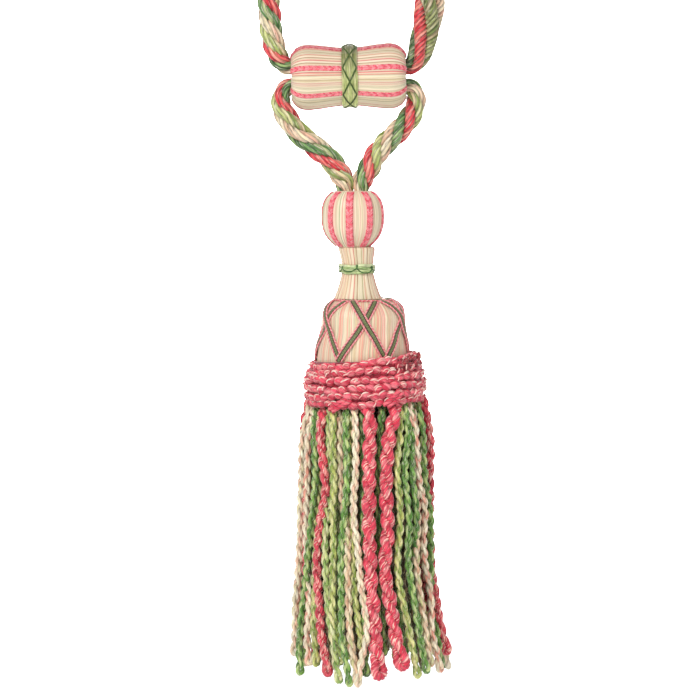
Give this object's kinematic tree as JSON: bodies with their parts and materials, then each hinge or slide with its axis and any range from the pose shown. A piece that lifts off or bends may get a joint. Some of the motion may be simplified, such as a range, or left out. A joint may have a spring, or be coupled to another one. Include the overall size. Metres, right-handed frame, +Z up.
{
  "type": "curtain tieback tassel with rope loop and sliding barrel",
  "caption": "Twisted rope loop drawn through a thread-covered sliding barrel, ending in a ball, neck, latticed dome, corded ruff and bullion cord skirt.",
  "frame": {"origin": "where a hook bears, inside the top of the rope loop", "axes": "+Z up, +X to the viewer's right across the loop, +Y away from the viewer, so the loop lies in the XZ plane and everything hangs below the origin but the rope over the hook"},
  "size_m": [0.1088, 0.0902, 0.6875],
  "materials": {
    "rope": "four-strand twisted rope of coral, mid green, cream and pale green yarn with a soft sheen",
    "satin_cream": "cream satin thread laid lengthwise with fine pink threads",
    "satin_green": "green satin thread crossed by dark green thread",
    "gimp_coral": "two coral cords twisted opposite ways",
    "gimp_lattice": "ribbed green gimp with a coral cord along each side",
    "ruff_cord": "chunky coral cord with a cream thread",
    "skirt_cords": "two-ply twisted cords in cream, greens and coral"
  },
  "bodies": {
    "root": {"rope": "rope", "barrel": "satin_cream", "barrel_band": "satin_green", "barrel_gimp_1": "gimp_coral", "barrel_gimp_2": "gimp_coral", "barrel_gimp_3": "gimp_coral", "barrel_gimp_4": "gimp_coral", "barrel_gimp_5": "gimp_coral", "barrel_gimp_6": "gimp_coral", "barrel_gimp_7": "gimp_coral", "ball": "satin_cream", "ball_gimp_1": "gimp_coral", "ball_gimp_2": "gimp_coral", "ball_gimp_3": "gimp_coral", "ball_gimp_4": "gimp_coral", "ball_gimp_5": "gimp_coral", "ball_gimp_6": "gimp_coral", "ball_gimp_7": "gimp_coral", "ball_gimp_8": "gimp_coral", "ball_gimp_9": "gimp_coral", "neck": "satin_cream", "neck_binding": "satin_green", "dome": "satin_cream", "lattice_falling_1": "gimp_lattice", "lattice_falling_2": "gimp_lattice", "lattice_falling_3": "gimp_lattice", "lattice_falling_4": "gimp_lattice", "lattice_falling_5": "gimp_lattice", "lattice_falling_6": "gimp_lattice", "lattice_rising_1": "gimp_lattice", "lattice_rising_2": "gimp_lattice", "lattice_rising_3": "gimp_lattice", "lattice_rising_4": "gimp_lattice", "lattice_rising_5": "gimp_lattice", "lattice_rising_6": "gimp_lattice", "ruff": "ruff_cord", "skirt_outer": "skirt_cords", "skirt_inner": "skirt_cords"}
  },
  "joints": []
}
